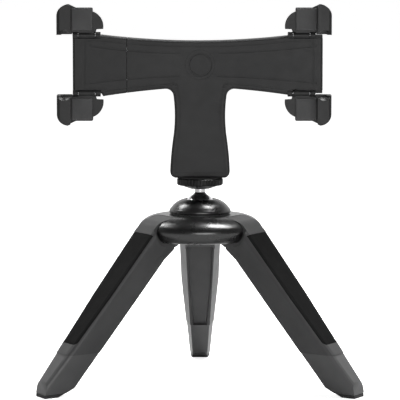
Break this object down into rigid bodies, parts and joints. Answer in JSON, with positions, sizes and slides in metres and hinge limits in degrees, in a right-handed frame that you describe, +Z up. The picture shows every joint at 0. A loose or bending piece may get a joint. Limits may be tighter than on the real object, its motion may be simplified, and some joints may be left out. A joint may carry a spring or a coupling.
{
  "type": "mini tripod device holder",
  "caption": "Small folding table tripod with a ball head and a T-shaped holder whose hook claws grip a phone or tablet for reading a script.",
  "frame": {"origin": "on the table, under the upright axis of the hub", "axes": "+Z up, -Y the side that the held device faces, +X along the holder's arms, away from the slider"},
  "size_m": [0.1988, 0.1723, 0.2354],
  "materials": {
    "hub_gloss": "glossy",
    "leg_plastic": "satin",
    "grip_rubber": "matte",
    "foot_plastic": "satin",
    "sole_rubber": "matte",
    "holder_plastic": "fine textured",
    "claw_plastic": "fine textured",
    "pad_rubber": "matte",
    "chrome_steel": "polished",
    "wheel_black": "satin",
    "screw_steel": "zinc plated",
    "pin_steel": "ground",
    "thread_brass": "machined",
    "inner_plastic": "plain",
    "spring_wire": "drawn"
  },
  "bodies": {
    "root": {"hub_shell": "hub_gloss", "hub_core": "inner_plastic", "hub_base_cap": "inner_plastic", "hub_screws": "screw_steel", "dome_washer": "inner_plastic", "right_hinge_pin": "pin_steel", "rear_hinge_pin": "pin_steel", "left_hinge_pin": "pin_steel"},
    "lock_collar": {"lock_dome": "hub_gloss"},
    "right_leg": {"right_leg_beam": "leg_plastic", "right_leg_grip": "grip_rubber", "right_leg_foot": "foot_plastic", "right_leg_sole": "sole_rubber", "right_leg_washers": "pin_steel"},
    "rear_leg": {"rear_leg_beam": "leg_plastic", "rear_leg_grip": "grip_rubber", "rear_leg_foot": "foot_plastic", "rear_leg_sole": "sole_rubber", "rear_leg_washers": "pin_steel"},
    "left_leg": {"left_leg_beam": "leg_plastic", "left_leg_grip": "grip_rubber", "left_leg_foot": "foot_plastic", "left_leg_sole": "sole_rubber", "left_leg_washers": "pin_steel"},
    "pan_cup": {"ball_seat": "inner_plastic"},
    "tilt_cup": {"ball_liner": "inner_plastic"},
    "holder": {"ball_stud": "chrome_steel", "neck_nut": "thread_brass", "neck_pad": "pad_rubber", "holder_front": "holder_plastic", "holder_rear": "holder_plastic", "holder_screws": "screw_steel", "spring_post": "pin_steel", "emblem_disc": "holder_plastic", "claw_top_right_pin": "pin_steel", "claw_bottom_right_pin": "pin_steel"},
    "lock_wheel": {"lock_wheel": "wheel_black"},
    "slider": {"slider_front": "holder_plastic", "slider_rear": "holder_plastic", "slider_screws": "screw_steel", "slider_tongue": "inner_plastic", "slider_rods": "pin_steel", "slider_spring": "spring_wire", "claw_top_left_pin": "pin_steel", "claw_bottom_left_pin": "pin_steel"},
    "claw_top_left": {"claw_top_left": "claw_plastic", "claw_top_left_pad": "pad_rubber"},
    "claw_top_right": {"claw_top_right": "claw_plastic", "claw_top_right_pad": "pad_rubber"},
    "claw_bottom_left": {"claw_bottom_left": "claw_plastic", "claw_bottom_left_pad": "pad_rubber"},
    "claw_bottom_right": {"claw_bottom_right": "claw_plastic", "claw_bottom_right_pad": "pad_rubber"}
  },
  "joints": [
    {"name": "right_leg_fold", "type": "hinge", "parent": "root", "child": "right_leg", "pos_m": [0.02165, -0.0125, 0.0945], "axis": [0.5, 0.866, 0], "range_deg": [0, 38]},
    {"name": "rear_leg_fold", "type": "hinge", "parent": "root", "child": "rear_leg", "pos_m": [0, 0.025, 0.0945], "axis": [-1, 0, 0], "range_deg": [0, 38]},
    {"name": "left_leg_fold", "type": "hinge", "parent": "root", "child": "left_leg", "pos_m": [-0.02165, -0.0125, 0.0945], "axis": [0.5, -0.866, 0], "range_deg": [0, 38]},
    {"name": "collar_turn", "type": "hinge", "parent": "root", "child": "lock_collar", "pos_m": [0, 0, 0.109], "axis": [0, 0, 1], "range_deg": [0, 120]},
    {"name": "ball_pan", "type": "hinge", "parent": "root", "child": "pan_cup", "pos_m": [0, 0, 0.109], "axis": [0, 0, 1], "continuous": true},
    {"name": "ball_pitch", "type": "hinge", "parent": "pan_cup", "child": "tilt_cup", "pos_m": [0, 0, 0.109], "axis": [1, 0, 0], "range_deg": [-25, 25]},
    {"name": "ball_roll", "type": "hinge", "parent": "tilt_cup", "child": "holder", "pos_m": [0, 0, 0.109], "axis": [0, 1, 0], "range_deg": [-25, 25]},
    {"name": "wheel_turn", "type": "hinge", "parent": "holder", "child": "lock_wheel", "pos_m": [0, 0, 0.125], "axis": [0, 0, 1], "continuous": true},
    {"name": "slider_pull", "type": "slide", "parent": "holder", "child": "slider", "axis": [-1, 0, 0], "range_m": [0, 0.06], "stiffness_N_per_m": 60, "springref_m": -0.02, "deforming": ["slider_spring"]},
    {"name": "claw_top_left_fold", "type": "hinge", "parent": "slider", "child": "claw_top_left", "pos_m": [-0.0695, -0.0052, 0.2162], "axis": [1, 0, 0], "range_deg": [0, 90]},
    {"name": "claw_top_right_fold", "type": "hinge", "parent": "holder", "child": "claw_top_right", "pos_m": [0.0623, -0.0052, 0.2162], "axis": [1, 0, 0], "range_deg": [0, 90]},
    {"name": "claw_bottom_left_fold", "type": "hinge", "parent": "slider", "child": "claw_bottom_left", "pos_m": [-0.0695, -0.0052, 0.1809], "axis": [-1, 0, 0], "range_deg": [0, 90]},
    {"name": "claw_bottom_right_fold", "type": "hinge", "parent": "holder", "child": "claw_bottom_right", "pos_m": [0.0623, -0.0052, 0.1809], "axis": [-1, 0, 0], "range_deg": [0, 90]}
  ]
}
